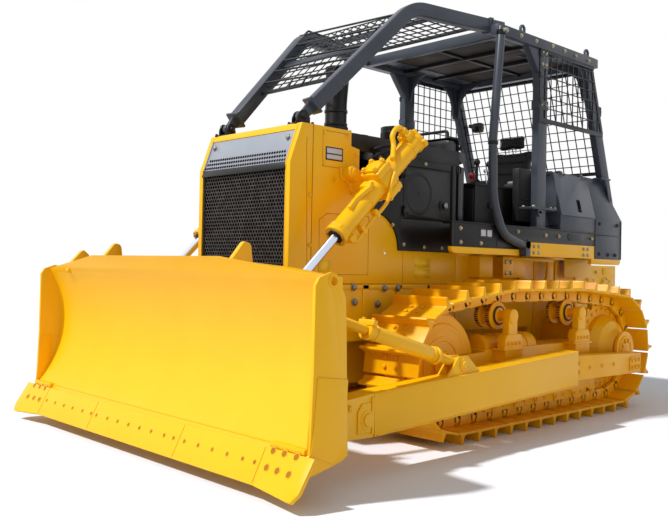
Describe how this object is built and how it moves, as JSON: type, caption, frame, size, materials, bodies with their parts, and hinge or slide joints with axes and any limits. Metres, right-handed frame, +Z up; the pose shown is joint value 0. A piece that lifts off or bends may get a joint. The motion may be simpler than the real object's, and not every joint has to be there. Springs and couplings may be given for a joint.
{
  "type": "crawler dozer with a straight blade, forestry canopy and rear winch",
  "caption": "Crawler dozer: straight blade on push arms, lift cylinders beside the engine cover, open canopy with limb risers and mesh, steel tracks and a rear winch.",
  "frame": {"origin": "on the ground, in the middle of the whole machine's length and width", "axes": "+Z up; the machine faces -Y, so the blade is at -Y and the winch at +Y; +X is its left-hand side"},
  "size_m": [3.724, 6.2, 3.6469],
  "materials": {
    "yellow_paint": "gloss",
    "canopy_paint": "satin",
    "black_paint": "satin",
    "grey_panel": "satin",
    "rod_chrome": "polished",
    "cast_grey": "rough",
    "core_dark": "dull",
    "seat_vinyl": "soft",
    "wire_black": "satin",
    "lever_black": "matte",
    "drum_steel": "worn"
  },
  "bodies": {
    "hull": {"main_frame": "yellow_paint", "rear_case": "yellow_paint", "engine_block": "cast_grey", "radiator_guard": "yellow_paint", "grille_panel": "grey_panel", "grille_screen": "wire_black", "radiator_core": "core_dark", "hood_cover": "yellow_paint", "hood_rear_cover": "black_paint", "side_housings": "black_paint", "exhaust_pipe": "black_paint", "precleaner": "black_paint", "dash_cowl": "black_paint", "operator_floor": "black_paint", "fender_beams": "yellow_paint", "fender_boxes": "canopy_paint", "fuel_tank": "canopy_paint", "seat_base": "black_paint", "seat_cushion": "seat_vinyl", "seat_back": "seat_vinyl", "consoles": "black_paint", "levers": "lever_black", "canopy_posts": "canopy_paint", "canopy_roof": "canopy_paint", "limb_risers": "canopy_paint", "canopy_screens": "wire_black", "riser_screen": "wire_black", "brace_tubes": "canopy_paint", "track_frame_left": "yellow_paint", "track_frame_right": "yellow_paint", "idlers": "yellow_paint", "sprockets": "yellow_paint", "final_drives": "yellow_paint", "rollers": "yellow_paint", "track_left": "yellow_paint", "track_right": "yellow_paint", "cylinder_brackets": "yellow_paint", "winch_frame": "yellow_paint"},
    "blade": {"mouldboard": "yellow_paint", "cutting_edge": "yellow_paint", "push_arms": "yellow_paint", "blade_braces": "yellow_paint"},
    "lift_barrel_left": {"lift_barrel_left": "yellow_paint"},
    "lift_barrel_right": {"lift_barrel_right": "yellow_paint"},
    "lift_rod_left": {"lift_rod_left": "rod_chrome"},
    "lift_rod_right": {"lift_rod_right": "rod_chrome"},
    "box_lid_left": {"box_lid_left": "canopy_paint"},
    "box_lid_right": {"box_lid_right": "canopy_paint"},
    "engine_door_left": {"engine_door_left": "black_paint"},
    "engine_door_right": {"engine_door_right": "black_paint"},
    "winch_drum": {"winch_drum": "drum_steel"}
  },
  "joints": [
    {"name": "blade_lift", "type": "hinge", "parent": "hull", "child": "blade", "pos_m": [0, 0.265, 0.527], "axis": [-1, 0, 0], "range_deg": [-10.7, 17.4]},
    {"name": "lift_swing_left", "type": "hinge", "parent": "hull", "child": "lift_barrel_left", "pos_m": [0.855, -1.386, 2.03], "axis": [-1, 0, 0], "range_deg": [-13.8, 22.1]},
    {"name": "lift_slide_left", "type": "slide", "parent": "lift_barrel_left", "child": "lift_rod_left", "axis": [0, -0.7316, -0.6817], "range_m": [-0.647, 0.4]},
    {"name": "lift_swing_right", "type": "hinge", "parent": "hull", "child": "lift_barrel_right", "pos_m": [-0.855, -1.386, 2.03], "axis": [-1, 0, 0], "range_deg": [-13.8, 22.1]},
    {"name": "lift_slide_right", "type": "slide", "parent": "lift_barrel_right", "child": "lift_rod_right", "axis": [0, -0.7316, -0.6817], "range_m": [-0.647, 0.4]},
    {"name": "box_lid_left_hinge", "type": "hinge", "parent": "hull", "child": "box_lid_left", "pos_m": [0.834, 1.4055, 2.346], "axis": [0, -1, 0], "range_deg": [0, 100]},
    {"name": "engine_door_left_hinge", "type": "hinge", "parent": "hull", "child": "engine_door_left", "pos_m": [0.6103, -0.845, 2.003], "axis": [0, 0, -1], "range_deg": [0, 50]},
    {"name": "box_lid_right_hinge", "type": "hinge", "parent": "hull", "child": "box_lid_right", "pos_m": [-0.834, 1.4055, 2.346], "axis": [0, 1, 0], "range_deg": [0, 100]},
    {"name": "engine_door_right_hinge", "type": "hinge", "parent": "hull", "child": "engine_door_right", "pos_m": [-0.6103, -0.845, 2.003], "axis": [0, 0, 1], "range_deg": [0, 50]},
    {"name": "winch_drum_turn", "type": "hinge", "parent": "hull", "child": "winch_drum", "pos_m": [0, 2.87, 1.19], "axis": [1, 0, 0], "continuous": true}
  ],
  "couplings": [
    {"joint": "lift_swing_left", "follows": "blade_lift", "ratio": 1.25},
    {"joint": "lift_slide_left", "follows": "blade_lift", "m_per_rad": -2.114},
    {"joint": "lift_swing_right", "follows": "blade_lift", "ratio": 1.25},
    {"joint": "lift_slide_right", "follows": "blade_lift", "m_per_rad": -2.114}
  ]
}
